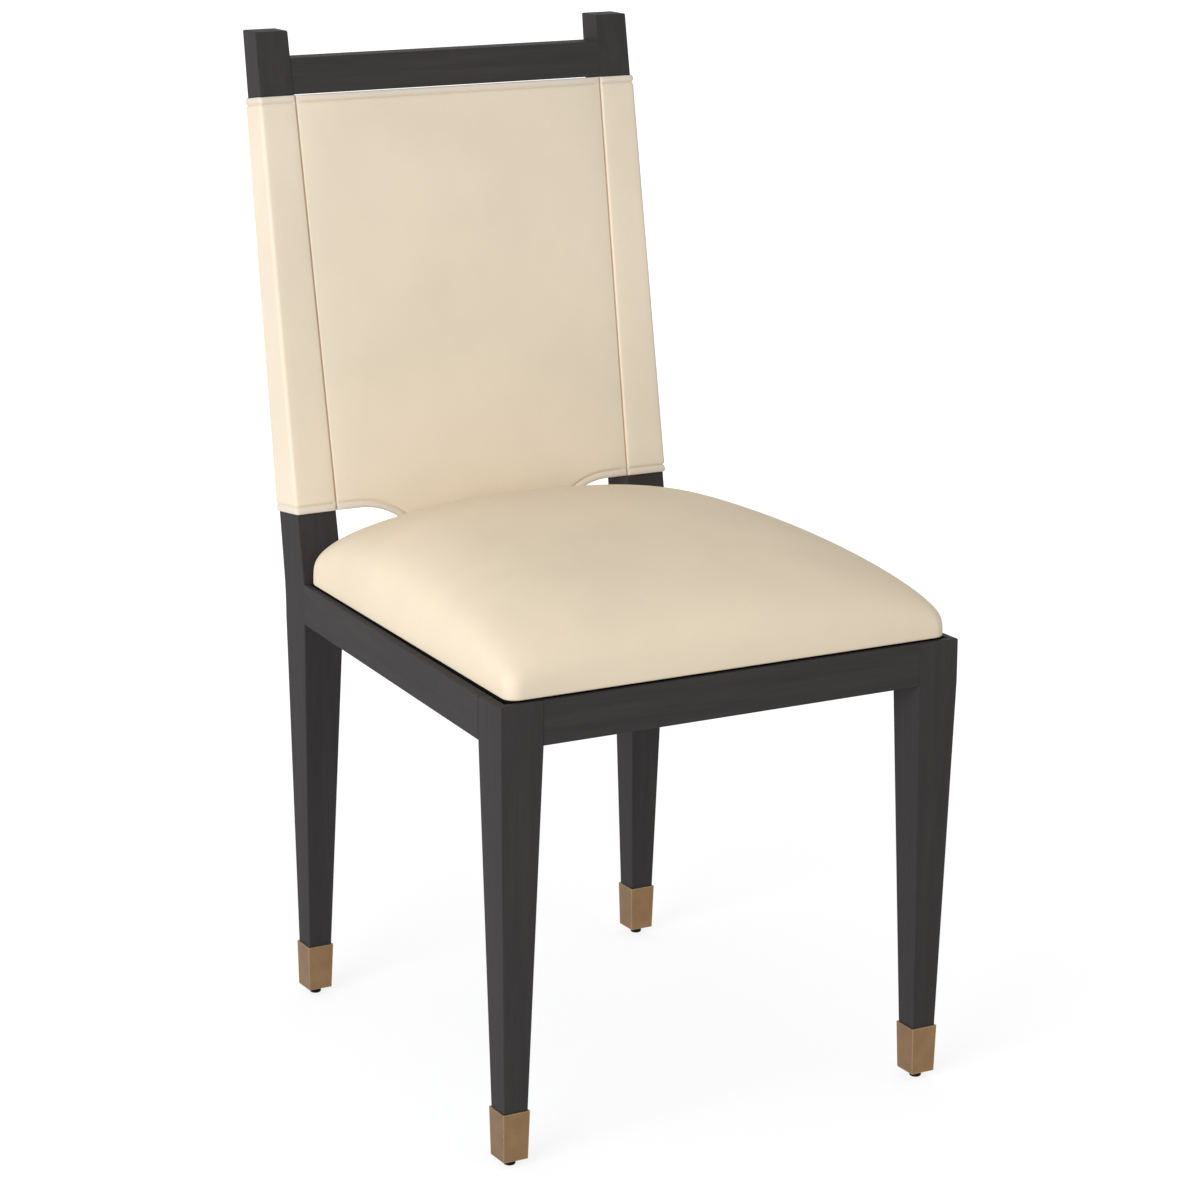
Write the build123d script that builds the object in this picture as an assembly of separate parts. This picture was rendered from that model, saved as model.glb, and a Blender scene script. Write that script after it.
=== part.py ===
from build123d import *
import os
from math import atan2, cos, pi, sin, sqrt, tan

# Upholstered dining chair. Millimetres, +Z up, the front of the chair faces -Y.
# The origin is on the floor, under the middle of the chair. Left and right are as seen from the front.

# Overall sizes
overall_height = 952.0
front_width = 474.0
rear_width = 410.0
seat_frame_depth = 503.0
back_lean = 82.0
frame_height = 428.0

# Legs and posts
leg_width = 42.0
foot_width = 24.0
front_leg_side_taper = 8.0
front_leg_front_taper = 9.0
rear_leg_side_taper = 7.5
rear_leg_back_taper = 5.0
bend_drop = 17.0
bend_radius = 300.0
bend_steps = 4
post_top_width = 34.5
post_top_depth = 28.5
eased_edge = 0.8

# Seat rails and top rail
rail_height = 40.0
rail_thickness = 24.0
rebate_depth = 14.0
top_rail_height = 34.5
top_rail_setback = 5.0
top_rail_drop = 26.0

# Dowels
dowel_diameter = 8.0
dowel_length = 38.0
dowel_end_room = 1.0
dowel_chamfer = 1.0
dowel_place = 0.25
top_dowel_place = 0.3
glue_gap = 0.05

# Corner blocks, cleat and wood screws
block_reach = 85.0
block_height = 22.0
block_screw_place = 0.18
seat_screw_place = 0.42
cleat_depth = 16.0
cleat_height = 20.0
cleat_end_gap = 1.0
cleat_screw_place = 0.7
screw_diameter = 4.0
screw_head_diameter = 8.0
screw_head_height = 2.6
screw_bite = 13.0
screw_tip = 4.0
seat_screw_bite = 8.0

# Ferrules, levelling glides and their threaded inserts
ferrule_height = 45.5
ferrule_wall = 1.3
ferrule_floor = 2.0
ferrule_gap = 0.2
ferrule_edge = 0.5
glide_height = 7.0
glide_diameter = 11.0
glide_round = 1.6
glide_seat_gap = 0.2
stem_diameter = 6.0
stem_length = 22.0
stem_gap = 0.5
stem_end_room = 2.0
thread_gap = 0.08
insert_diameter = 9.0
insert_length = 16.0

# Drop-in seat
leather = 1.6
cover_gap = 0.3
board_thickness = 12.0
seat_front_inset = 4.0
seat_side_inset_front = 4.0
seat_side_inset_rear = 2.0
seat_rear_gap = 1.5
seat_gap = 2.5
swell_height = 7.0
swell_draw_in = 5.5
swell_steps = 3
seat_corner = 14.0
crown_height = 102.0
crown_steps = 11
crown_side_power = 2.2
crown_top_power = 2.4
crown_corner_ratio = 0.95
crown_corner_power = 2.8
cover_flange = 25.0
dust_cloth = 0.8
dust_cloth_gap = 1.0

# Leather sling back
sling_top_gap = 0.5
sling_lift = 67.0
sling_fall = 4.4
sling_leather = 2.2
sling_lining = 1.6
sling_fit = 0.3
scallop_start = 25.0
scallop_radius = 72.0
scallop_turn = pi / 4
seam_gap = 0.05

# Places that follow from the sizes above
overall_depth = seat_frame_depth + back_lean
front_y = -overall_depth / 2
rear_y = front_y + seat_frame_depth
post_front_y = rear_y - leg_width
post_top_back_y = rear_y + back_lean
post_top_front_y = post_top_back_y - post_top_depth
rail_bottom = frame_height - rail_height
ledge_height = frame_height - rebate_depth
bend_height = frame_height - bend_drop
sling_top = overall_height - top_rail_drop - top_rail_height - sling_top_gap
sling_bottom = frame_height + sling_lift
ferrule_top = glide_height + ferrule_height
leg_bottom = glide_height + ferrule_floor + ferrule_gap
side_rail_length = seat_frame_depth - 2 * leg_width
side_slope = (front_width - rear_width) / 2 / side_rail_length
block_bottom = ledge_height - block_height
dowel_levels = [
    rail_bottom + (ledge_height - rail_bottom) * dowel_place,
    ledge_height - (ledge_height - rail_bottom) * dowel_place,
]
screw_level = (block_bottom + ledge_height) / 2
sling_reach = sling_fit + sling_leather
BEYOND = 1000.0


def between(start, end, share):
    return start + (end - start) * share


def side_outer_x(y):
    """Outer face of the left side rail, which runs in towards the back."""
    return -front_width / 2 + (y - front_y - leg_width) * side_slope


def side_inner_x(y):
    return side_outer_x(y) + rail_thickness


def along_x(outline, x_from, x_to):
    """Solid with the given (y, z) outline, running from one x to another."""
    face = make_face(Polyline(*[(x_from, y, z) for y, z in outline], close=True))
    return extrude(face, amount=x_to - x_from, dir=(1, 0, 0))


def along_y(outline, y_from, y_to):
    """Solid with the given (x, z) outline, running from one y to another."""
    face = make_face(Polyline(*[(x, y_from, z) for x, z in outline], close=True))
    return extrude(face, amount=y_to - y_from, dir=(0, 1, 0))


def upright(outline, z_from, z_to):
    """Solid with the given (x, y) outline, running from one height to another."""
    face = make_face(Polyline(*[(x, y, z_from) for x, y in outline], close=True))
    return extrude(face, amount=z_to - z_from, dir=(0, 0, 1))


def rod(start, direction, length, diameter):
    """Round bar that starts at a point and runs in a direction."""
    return extrude(Plane(origin=start, z_dir=direction) * Circle(diameter / 2), amount=length)


def ease(rail):
    """Take the sharpness off the long edges of a rail. Its ends stay square against the posts and legs."""
    longest = max(edge.length for edge in rail.edges())
    return fillet(rail.edges().filter_by(lambda edge: edge.length > longest / 2), eased_edge)


def leg_slice(faces, z, inset=0.0):
    """Level slice of a leg at one height, with eased corners."""
    left, right, front, back = faces
    width = right - left - 2 * inset
    depth = back - front - 2 * inset
    return Pos((left + right) / 2, (front + back) / 2, z) * RectangleRounded(width, depth, eased_edge)


def leg_through(faces_at, levels):
    """Leg that runs straight from each level to the next, with its top edges eased."""
    top = max(levels)
    slices = [leg_slice(faces_at(z), z) for z in sorted(levels) if z < top]
    slices.append(leg_slice(faces_at(top - eased_edge), top - eased_edge))
    slices.append(leg_slice(faces_at(top), top, eased_edge))
    return loft(slices, ruled=True)


def other_side(shape):
    return mirror(shape, about=Plane.YZ)


# Tapered legs. A leg below the seat is known by its four faces at the rail and at the ferrule.

class Taper:
    """The four faces of a leg below the seat rails, as straight lines from the rail to the foot."""

    def __init__(self, outer_x, front_face_y, side_taper, front_taper):
        foot_left = outer_x + side_taper
        foot_front = front_face_y + front_taper
        self.rail_faces = (outer_x, outer_x + leg_width, front_face_y, front_face_y + leg_width)
        self.foot_faces = (foot_left, foot_left + foot_width, foot_front, foot_front + foot_width)

    def faces(self, z):
        share = max(0.0, (rail_bottom - z) / (rail_bottom - ferrule_top))
        return [between(a, b, share) for a, b in zip(self.rail_faces, self.foot_faces)]

    def solid(self, z_from, z_to, grow=0.0):
        """The leg between two heights, with every face moved out by the given amount."""
        left, right, front, back = self.faces(z_from)
        left_top, right_top, front_top, back_top = self.faces(z_to)
        seen_from_front = [
            (left - grow, z_from),
            (right + grow, z_from),
            (right_top + grow, z_to),
            (left_top - grow, z_to),
        ]
        seen_from_side = [
            (front - grow, z_from),
            (back + grow, z_from),
            (back_top + grow, z_to),
            (front_top - grow, z_to),
        ]
        return along_y(seen_from_front, -BEYOND, BEYOND) & along_x(seen_from_side, -BEYOND, BEYOND)

    def foot_centre(self):
        left, right, front, back = self.faces(leg_bottom)
        return (left + right) / 2, (front + back) / 2


front_taper = Taper(-front_width / 2, front_y, front_leg_side_taper, front_leg_front_taper)
rear_taper = Taper(
    -rear_width / 2,
    post_front_y,
    rear_leg_side_taper,
    leg_width - foot_width - rear_leg_back_taper,
)


# Rear posts above the seat

bend_angle = atan2(back_lean, overall_height - bend_height)
bend_start = bend_height - bend_radius * tan(bend_angle / 2)
bend_levels = [
    bend_start + bend_radius * sin(bend_angle * step / bend_steps)
    for step in range(bend_steps + 1)
]


def post_front(z):
    share = max(0.0, (z - frame_height) / (overall_height - frame_height))
    return between(post_front_y, post_top_front_y, share)


def post_back(z):
    """Back face of a post: upright at the seat, then a bend, then a straight lean."""
    if z <= bend_levels[0]:
        return rear_y
    if z < bend_levels[-1]:
        return rear_y + bend_radius - sqrt(bend_radius ** 2 - (z - bend_start) ** 2)
    return between(rear_y, post_top_back_y, (z - bend_height) / (overall_height - bend_height))


def post_inner_x(z):
    """Inner face of the left post."""
    share = max(0.0, (z - frame_height) / (overall_height - frame_height))
    return -rear_width / 2 + between(leg_width, post_top_width, share)


def post_faces(z):
    if z <= rail_bottom:
        return rear_taper.faces(z)
    return -rear_width / 2, post_inner_x(z), post_front(z), post_back(z)


def post_wrap(grow, z_from, z_to):
    """The straight part of the left post between two heights, grown on every side.

    Its ends fall towards the back.
    """
    back_from = z_from - sling_fall
    back_to = z_to - sling_fall
    seen_from_front = [
        (-rear_width / 2 - grow, back_from),
        (post_inner_x(back_from) + grow, back_from),
        (post_inner_x(z_to) + grow, z_to),
        (-rear_width / 2 - grow, z_to),
    ]
    seen_from_side = [
        (post_front(z_from) - grow, z_from),
        (post_back(back_from) + grow, back_from),
        (post_back(back_to) + grow, back_to),
        (post_front(z_to) - grow, z_to),
    ]
    return along_y(seen_from_front, -BEYOND, BEYOND) & along_x(seen_from_side, -BEYOND, BEYOND)


def rear_post():
    """Rear leg and back post in one piece of wood, bent back above the seat."""
    return leg_through(post_faces, [leg_bottom, rail_bottom, frame_height, overall_height] + bend_levels)


def front_leg():
    return leg_through(front_taper.faces, [leg_bottom, rail_bottom, frame_height])


# Rails

def front_rail():
    half = front_width / 2 - leg_width
    back = front_y + rail_thickness
    outline = [(-half, front_y), (half, front_y), (half, back), (-half, back)]
    return ease(upright(outline, rail_bottom, frame_height))


def rear_rail():
    half = rear_width / 2 - leg_width
    back = post_front_y + rail_thickness
    outline = [(-half, post_front_y), (half, post_front_y), (half, back), (-half, back)]
    return ease(upright(outline, rail_bottom, frame_height))


def side_rail():
    start = front_y + leg_width
    outline = [
        (side_outer_x(start), start),
        (side_inner_x(start), start),
        (side_inner_x(post_front_y), post_front_y),
        (side_outer_x(post_front_y), post_front_y),
    ]
    return ease(upright(outline, rail_bottom, frame_height))


def top_rail():
    """Rail between the post tops, flush with their fronts and leaning with them."""
    top = overall_height - top_rail_drop
    bottom = top - top_rail_height
    section = [
        (post_front(bottom), bottom),
        (post_back(bottom) - top_rail_setback, bottom),
        (post_back(top) - top_rail_setback, top),
        (post_front(top), top),
    ]
    between_posts = [
        (post_inner_x(bottom), bottom),
        (-post_inner_x(bottom), bottom),
        (-post_inner_x(top), top),
        (post_inner_x(top), top),
    ]
    return ease(along_x(section, -BEYOND, BEYOND) & along_y(between_posts, -BEYOND, BEYOND))


def seat_rebate():
    """Room cut into the tops of the rails and front legs, where the seat drops in."""
    front_corner_x, front, rear_corner_x, rear = seat_plan(swell_draw_in - seat_gap)
    reach = (post_front_y - rear) / (rear - front)
    rear_corner_x = between(rear_corner_x, front_corner_x, -reach)
    outline = [
        (-front_corner_x, front),
        (front_corner_x, front),
        (rear_corner_x, post_front_y),
        (-rear_corner_x, post_front_y),
    ]
    return upright(outline, ledge_height, frame_height + rail_height)


# Dowels

def dowel_places():
    """Middle and direction of every dowel in the frame."""
    across = Vector(1, 0, 0)
    along_side = Vector(side_slope, 1, 0).normalized()
    middle = rail_thickness / 2
    front_end = front_width / 2 - leg_width
    rear_end = rear_width / 2 - leg_width
    side_start = front_y + leg_width
    side_middle_front = side_outer_x(side_start) + middle
    side_middle_rear = side_outer_x(post_front_y) + middle
    places = []
    for z in dowel_levels:
        for side in (-1, 1):
            turn = Vector(-side * along_side.X, along_side.Y, 0)
            places.append((Vector(side * front_end, front_y + middle, z), across))
            places.append((Vector(side * rear_end, post_front_y + middle, z), across))
            places.append((Vector(-side * side_middle_front, side_start, z), turn))
            places.append((Vector(-side * side_middle_rear, post_front_y, z), turn))
    rail_top = overall_height - top_rail_drop
    for share in (top_dowel_place, 1 - top_dowel_place):
        z = rail_top - top_rail_height * share
        y = (post_front(z) + post_back(z) - top_rail_setback) / 2
        for side in (-1, 1):
            places.append((Vector(-side * post_inner_x(z), y, z), across))
    return places


def dowel(middle, direction):
    start = middle - direction * (dowel_length / 2)
    peg = rod(start, direction, dowel_length, dowel_diameter - 2 * glue_gap)
    return chamfer(peg.edges().filter_by(GeomType.CIRCLE), dowel_chamfer)


def dowel_hole(middle, direction):
    length = dowel_length + 2 * dowel_end_room
    return rod(middle - direction * (length / 2), direction, length, dowel_diameter)


# Corner blocks, cleat and screws

def front_corner():
    y = front_y + rail_thickness
    return Vector(side_inner_x(y), y, 0)


def rear_corner():
    return Vector(side_inner_x(post_front_y), post_front_y, 0)


def block_ends(corner, forward):
    """Where the slanted face of a left corner block meets the cross rail and the side rail."""
    along_side = Vector(side_slope, 1, 0).normalized() * forward
    return corner + Vector(block_reach, 0, 0), corner + along_side * block_reach


def front_block():
    """Corner block cut round the inner corner of the front leg."""
    corner = front_corner()
    on_cross, on_side = block_ends(corner, 1)
    leg_x = -front_width / 2 + leg_width
    leg_y = front_y + leg_width
    outline = [
        (leg_x, corner.Y),
        (on_cross.X, on_cross.Y),
        (on_side.X, on_side.Y),
        (side_inner_x(leg_y), leg_y),
        (leg_x, leg_y),
    ]
    return upright(outline, block_bottom, ledge_height)


def rear_block():
    corner = rear_corner()
    on_cross, on_side = block_ends(corner, -1)
    outline = [(corner.X, corner.Y), (on_cross.X, on_cross.Y), (on_side.X, on_side.Y)]
    return upright(outline, block_bottom, ledge_height)


def seat_cleat():
    """Strip on the rear rail that carries the back edge of the seat."""
    half = -(rear_corner().X + block_reach) - cleat_end_gap
    front = post_front_y - cleat_depth
    outline = [(-half, front), (half, front), (half, post_front_y), (-half, post_front_y)]
    return upright(outline, ledge_height - cleat_height, ledge_height)


def screw(seat, direction, length):
    """Wood screw. The underside of its head is at the seat point."""
    head = rod(seat - direction * screw_head_height, direction, screw_head_height, screw_head_diameter)
    shank = rod(seat, direction, length - screw_tip, screw_diameter - 2 * glue_gap)
    tip_plane = Plane(origin=seat + direction * (length - screw_tip), z_dir=direction)
    tip = tip_plane * Cone(
        screw_diameter / 2 - glue_gap,
        glue_gap,
        screw_tip,
        align=(Align.CENTER, Align.CENTER, Align.MIN),
    )
    return head + shank + tip


def screw_hole(seat, direction, length):
    return rod(seat, direction, length + glue_gap, screw_diameter)


def block_screw_places():
    """Head seat, direction and length of the two screws in each left corner block."""
    places = []
    for corner, forward in ((front_corner(), 1), (rear_corner(), -1)):
        on_cross, on_side = block_ends(corner, forward)
        slant = on_side - on_cross
        inward = Vector(-slant.Y * forward, slant.X * forward, 0).normalized()
        length = slant.length * block_screw_place + screw_bite
        for share in (block_screw_place, 1 - block_screw_place):
            seat = on_cross + slant * share + Vector(0, 0, screw_level)
            places.append((seat, inward, length))
    return places


def seat_screw_places():
    """Head seat, direction and length of the left screws that hold the seat down."""
    length = block_height + leather + seat_screw_bite
    places = []
    for corner, forward in ((front_corner(), 1), (rear_corner(), -1)):
        on_cross, on_side = block_ends(corner, forward)
        middle = corner + (on_cross - corner) * seat_screw_place + (on_side - corner) * seat_screw_place
        places.append((middle + Vector(0, 0, block_bottom), Vector(0, 0, 1), length))
    return places


def cleat_screw_places():
    """Head seat, direction and length of the screws through the cleat."""
    spacing = -(rear_corner().X + block_reach) * cleat_screw_place
    z = ledge_height - cleat_height / 2
    return [(Vector(x, post_front_y - cleat_depth, z), Vector(0, 1, 0), cleat_depth + screw_bite)
            for x in (-spacing, 0, spacing)]


# Feet

def ferrule(taper):
    """Square metal cup on the end of a leg, with a hole for the stem of the glide."""
    x, y = taper.foot_centre()
    outside = taper.solid(glide_height, ferrule_top, ferrule_gap + ferrule_wall)
    outside = fillet(outside.edges().filter_by(lambda edge: edge.length > ferrule_height / 2), ferrule_edge)
    inside = taper.solid(glide_height + ferrule_floor, ferrule_top + ferrule_wall, ferrule_gap)
    stem_hole = rod((x, y, 0), (0, 0, 1), leg_bottom, stem_diameter + 2 * stem_gap)
    return outside - inside - stem_hole


def glide(taper):
    """Round foot on a threaded stem. It turns down out of the leg to level the chair."""
    x, y = taper.foot_centre()
    foot = rod((x, y, 0), (0, 0, 1), glide_height - glide_seat_gap, glide_diameter)
    foot = fillet(foot.edges().filter_by(GeomType.CIRCLE).sort_by(Axis.Z)[0], glide_round)
    return foot + rod((x, y, glide_height - glide_seat_gap), (0, 0, 1), stem_length, stem_diameter)


def glide_insert(taper):
    x, y = taper.foot_centre()
    outside = rod((x, y, leg_bottom), (0, 0, 1), insert_length, insert_diameter - 2 * glue_gap)
    return outside - rod((x, y, leg_bottom), (0, 0, 1), insert_length, stem_diameter + 2 * thread_gap)


def foot_bore(taper):
    """Hole in the end of a leg for the insert, and above it for the stem."""
    x, y = taper.foot_centre()
    stem_end = glide_height + stem_length + stem_end_room
    stem_room = rod((x, y, 0), (0, 0, 1), stem_end, stem_diameter + 2 * stem_gap)
    return rod((x, y, 0), (0, 0, 1), leg_bottom + insert_length, insert_diameter) + stem_room


# Drop-in seat

def seat_plan(inset, share=1.0):
    """Right-hand corners of the seat in plan: front x and y, then rear x and y.

    The inset is from the widest line of the cushion, and the share shrinks the plan about its middle.
    """
    front = front_y + seat_front_inset + inset
    rear = post_front_y - seat_rear_gap - inset
    middle = (front + rear) / 2
    half_front = (front_width / 2 - seat_side_inset_front - inset) * share
    half_rear = (rear_width / 2 - seat_side_inset_rear - inset) * share
    return half_front, between(middle, front, share), half_rear, between(middle, rear, share)


def seat_outline(z, inset, corner, share=1.0):
    """Level face of the seat at one height, with rounded corners."""
    half_front, front, half_rear, rear = seat_plan(inset, share)
    plan = make_face(Polyline(
        (-half_front, front, z),
        (half_front, front, z),
        (half_rear, rear, z),
        (-half_rear, rear, z),
        close=True,
    )).face()
    return plan.fillet_2d(corner, plan.vertices())


def seat_plug(z_from, z_to, inset):
    """Straight-sided lower part of the seat, which drops into the rebate."""
    corner = seat_corner - swell_draw_in
    return extrude(seat_outline(z_from, swell_draw_in + inset, corner), amount=z_to - z_from, dir=(0, 0, 1))


def cushion(inset):
    """Domed cushion above the rails. Its sides swell out over the rim, and its top is a tight crown."""
    widest = frame_height + swell_height
    top = frame_height + crown_height - inset
    full_corner = (rear_width / 2 - seat_side_inset_rear - inset) * crown_corner_ratio
    plans = []
    for step in range(swell_steps):
        draw_in = swell_draw_in * (1 - sin(pi / 2 * step / swell_steps))
        z = between(frame_height, widest, step / swell_steps)
        plans.append(seat_outline(z, inset + draw_in, seat_corner - draw_in))
    for step in range(crown_steps):
        turn = pi / 2 * step / crown_steps
        level = sin(turn) ** (2 / crown_side_power)
        share = cos(turn) ** (2 / crown_top_power)
        corner = between(seat_corner, full_corner, level ** crown_corner_power) * share
        plans.append(seat_outline(between(widest, top, level), inset, corner, share))
    return loft(plans, ruled=True)


def seat_board():
    bottom = ledge_height + leather
    return seat_plug(bottom, bottom + board_thickness, leather + cover_gap)


def seat_foam():
    """Foam block on the board, shaped to the crown."""
    bottom = ledge_height + leather + board_thickness
    return seat_plug(bottom, frame_height, leather + cover_gap) + cushion(leather + cover_gap)


def seat_cover():
    """Leather drawn over the foam, down the edges of the board and under it."""
    outside = seat_plug(ledge_height, frame_height, 0) + cushion(0)
    inside = seat_plug(ledge_height + leather, frame_height, leather) + cushion(leather)
    return outside - inside - seat_plug(ledge_height, ledge_height + leather, cover_flange)


def seat_dust_cover():
    top = ledge_height + leather
    return seat_plug(top - dust_cloth, top, cover_flange + dust_cloth_gap)


# Sling back

def sling_slab(front_reach, back_reach):
    """Leaning slab beside the front faces of the posts."""
    low = frame_height
    outline = [
        (post_front(low) - front_reach, low),
        (post_front(low) + back_reach, low),
        (post_front(overall_height) + back_reach, overall_height),
        (post_front(overall_height) - front_reach, overall_height),
    ]
    return along_x(outline, -BEYOND, BEYOND)


def sling_shape():
    """Front view of the panel between the posts. Its lower edge drops in a curve on each side."""
    half_top = -post_inner_x(sling_top) - sling_reach - seam_gap
    half_hem = -post_inner_x(sling_bottom) - sling_reach - seam_gap
    start = -post_inner_x(sling_bottom) - scallop_start
    reach = scallop_radius * sin(scallop_turn)
    fall = scallop_radius * (1 - cos(scallop_turn))
    middle_reach = scallop_radius * sin(scallop_turn / 2)
    middle_fall = scallop_radius * (1 - cos(scallop_turn / 2))
    low = sling_bottom - 2 * fall

    def at(x, z):
        return (x, -BEYOND, z)

    edges = [Line(at(half_hem, sling_bottom), at(half_top, sling_top))]
    edges.append(Line(at(half_top, sling_top), at(-half_top, sling_top)))
    edges.append(Line(at(-half_top, sling_top), at(-half_hem, sling_bottom)))
    edges.append(Line(at(start - 2 * reach, low), at(2 * reach - start, low)))
    for side in (-1, 1):
        hollow = [
            at(side * start, sling_bottom),
            at(side * (start - middle_reach), sling_bottom - middle_fall),
            at(side * (start - reach), sling_bottom - fall),
        ]
        swell = [
            hollow[2],
            at(side * (start - 2 * reach + middle_reach), low + middle_fall),
            at(side * (start - 2 * reach), low),
        ]
        edges.append(Line(at(side * half_hem, sling_bottom), hollow[0]))
        edges.append(ThreePointArc(*hollow))
        edges.append(ThreePointArc(*swell))
    face = make_face(edges)
    return extrude(face, amount=2 * BEYOND, dir=(0, 1, 0))


def sling_panel():
    return sling_shape() & sling_slab(sling_reach, -sling_fit)


def sling_backing():
    return sling_shape() & sling_slab(sling_fit, sling_lining - sling_fit)


def sling_sleeve():
    """Leather pocket sewn round the left post."""
    inside = post_wrap(sling_fit, sling_bottom - leg_width, sling_top + leg_width)
    return post_wrap(sling_reach, sling_bottom, sling_top) - inside


# Assembly

def cut_all(shape, tools):
    for tool in tools:
        shape = shape - tool
    return shape


def build_pieces():
    dowels = [dowel(*place) for place in dowel_places()]
    dowel_holes = [dowel_hole(*place) for place in dowel_places()]
    block_screws = [screw(*place) for place in block_screw_places()]
    block_holes = [screw_hole(*place) for place in block_screw_places()]
    seat_screws = [screw(*place) for place in seat_screw_places()]
    seat_holes = [screw_hole(*place) for place in seat_screw_places()]
    cleat_screws = [screw(*place) for place in cleat_screw_places()]
    cleat_holes = [screw_hole(*place) for place in cleat_screw_places()]
    mirrored_block_holes = [other_side(hole) for hole in block_holes]
    mirrored_seat_holes = [other_side(hole) for hole in seat_holes]
    every_block_hole = block_holes + mirrored_block_holes
    rebate = seat_rebate()
    inserts = [glide_insert(front_taper), glide_insert(rear_taper)]

    left = {
        "rear_post": cut_all(rear_post(), dowel_holes + [foot_bore(rear_taper)]),
        "front_leg": cut_all(front_leg(), [rebate, foot_bore(front_taper)] + dowel_holes),
        "side_seat_rail": cut_all(side_rail(), [rebate] + dowel_holes + block_holes),
        "corner_block_front": cut_all(front_block(), block_holes + seat_holes),
        "corner_block_rear": cut_all(rear_block(), block_holes + seat_holes),
        "ferrule_front": ferrule(front_taper),
        "ferrule_rear": ferrule(rear_taper),
        "glide_front": glide(front_taper),
        "glide_rear": glide(rear_taper),
        "sling_sleeve": sling_sleeve(),
    }
    pieces = {}
    for name, shape in left.items():
        pieces[name + "_left"] = shape
        pieces[name + "_right"] = other_side(shape)

    pieces["front_seat_rail"] = cut_all(front_rail(), [rebate] + dowel_holes + every_block_hole)
    pieces["rear_seat_rail"] = cut_all(rear_rail(), dowel_holes + every_block_hole + cleat_holes)
    pieces["top_rail"] = cut_all(top_rail(), dowel_holes)
    pieces["rear_seat_cleat"] = cut_all(seat_cleat(), cleat_holes)
    pieces["frame_dowels"] = Compound(dowels)
    pieces["corner_block_screws"] = Compound(block_screws + [other_side(item) for item in block_screws])
    pieces["seat_screws"] = Compound(seat_screws + [other_side(item) for item in seat_screws])
    pieces["cleat_screws"] = Compound(cleat_screws)
    pieces["glide_inserts"] = Compound(inserts + [other_side(item) for item in inserts])
    pieces["seat_board"] = cut_all(seat_board(), seat_holes + mirrored_seat_holes)
    pieces["seat_foam"] = seat_foam()
    pieces["seat_cover"] = seat_cover()
    pieces["seat_dust_cover"] = cut_all(seat_dust_cover(), seat_holes + mirrored_seat_holes)
    pieces["sling_panel"] = sling_panel()
    pieces["sling_lining"] = sling_backing()
    return pieces


os.makedirs("parts", exist_ok=True)
for node, shape in build_pieces().items():
    export_step(shape, "parts/" + node + ".step")
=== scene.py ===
from math import cos, exp, pi, radians, sin, sqrt

import bmesh
import bpy
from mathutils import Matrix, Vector, noise

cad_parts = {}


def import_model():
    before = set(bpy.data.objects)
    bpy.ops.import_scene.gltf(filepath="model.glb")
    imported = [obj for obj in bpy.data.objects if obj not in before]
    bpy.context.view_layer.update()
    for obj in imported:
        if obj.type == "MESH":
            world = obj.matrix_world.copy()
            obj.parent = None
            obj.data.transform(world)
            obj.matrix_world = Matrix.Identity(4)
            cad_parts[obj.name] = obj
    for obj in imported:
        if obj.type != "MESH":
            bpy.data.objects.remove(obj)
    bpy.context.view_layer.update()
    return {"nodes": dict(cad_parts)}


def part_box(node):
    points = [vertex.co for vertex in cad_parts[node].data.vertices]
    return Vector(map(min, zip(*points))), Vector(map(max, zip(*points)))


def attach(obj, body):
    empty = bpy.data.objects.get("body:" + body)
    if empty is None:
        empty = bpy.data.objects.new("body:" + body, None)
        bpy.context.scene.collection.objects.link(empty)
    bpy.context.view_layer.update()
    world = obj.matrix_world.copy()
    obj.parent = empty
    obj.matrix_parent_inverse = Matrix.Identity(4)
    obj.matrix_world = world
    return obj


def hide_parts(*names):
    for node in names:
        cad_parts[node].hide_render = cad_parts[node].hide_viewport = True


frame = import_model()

MM = 0.001

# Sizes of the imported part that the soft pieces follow, in millimetres
OVERALL_HEIGHT = 952.0
FRAME_HEIGHT = 428.0
LEDGE_HEIGHT = 414.0
BEND_HEIGHT = 411.0
REAR_WIDTH = 410.0
LEG_WIDTH = 42.0
POST_TOP_WIDTH = 34.5
POST_FRONT, POST_TOP_FRONT = 168.5, 264.0
POST_BACK, POST_TOP_BACK = 210.5, 292.5
SLING_TOP, SLING_BOTTOM = 891.0, 495.0
SLING_FIT = 0.3
SLEEVE_FALL = 4.4
SCALLOP_START, SCALLOP_RADIUS = 25.0, 72.0
HEM = 7.0


def between(a, b, share):
    return a + (b - a) * share


def post_share(z):
    return (z - FRAME_HEIGHT) / (OVERALL_HEIGHT - FRAME_HEIGHT)


def post_front(z):
    return between(POST_FRONT, POST_TOP_FRONT, post_share(z))


def post_back(z):
    return between(POST_BACK, POST_TOP_BACK, (z - BEND_HEIGHT) / (OVERALL_HEIGHT - BEND_HEIGHT))


def post_inner(z):
    """Distance of the posts' inner faces from the middle of the chair."""
    return REAR_WIDTH / 2 - between(LEG_WIDTH, POST_TOP_WIDTH, post_share(z))


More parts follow.
